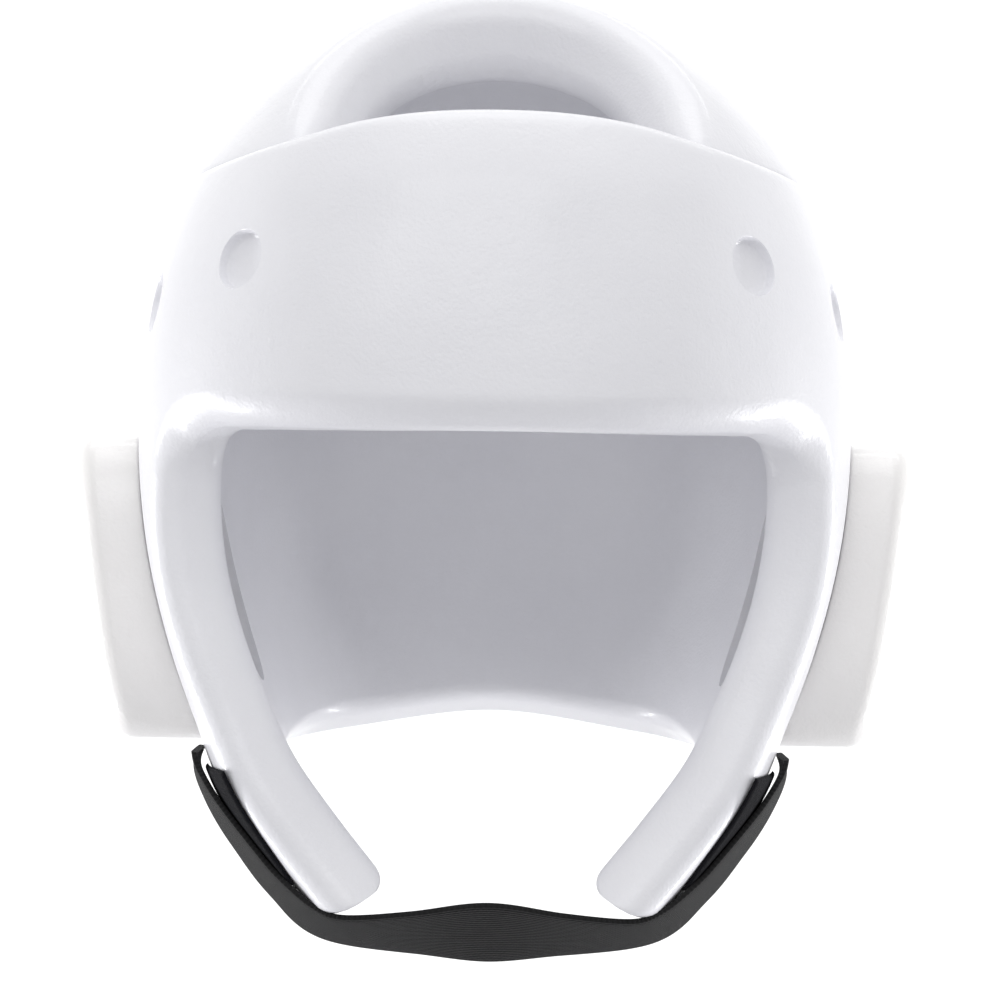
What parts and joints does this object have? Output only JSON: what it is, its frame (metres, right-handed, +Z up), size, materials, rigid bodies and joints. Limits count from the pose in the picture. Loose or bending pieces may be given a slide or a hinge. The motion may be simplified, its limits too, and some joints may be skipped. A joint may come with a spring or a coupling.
{
  "type": "martial arts head guard",
  "caption": "White dipped-foam martial arts head guard with ear cups, cheek bars, an open crown arch and a black chin strap.",
  "frame": {"origin": "inside of the crown at its top, where the wearer's head carries the guard", "axes": "+Z up, -Y to the front where the face opening is, +X to the right in the picture's front view"},
  "size_m": [0.2566, 0.2379, 0.2956],
  "materials": {
    "white_foam": "gloss",
    "black_webbing": "matte",
    "black_loop_tape": "matte"
  },
  "bodies": {
    "root": {"shell": "white_foam", "crown_hood": "white_foam", "ear_cup_left": "white_foam", "ear_cup_right": "white_foam", "chin_strap": "black_webbing", "strap_patch_left": "black_loop_tape", "strap_patch_right": "black_loop_tape"}
  },
  "joints": []
}
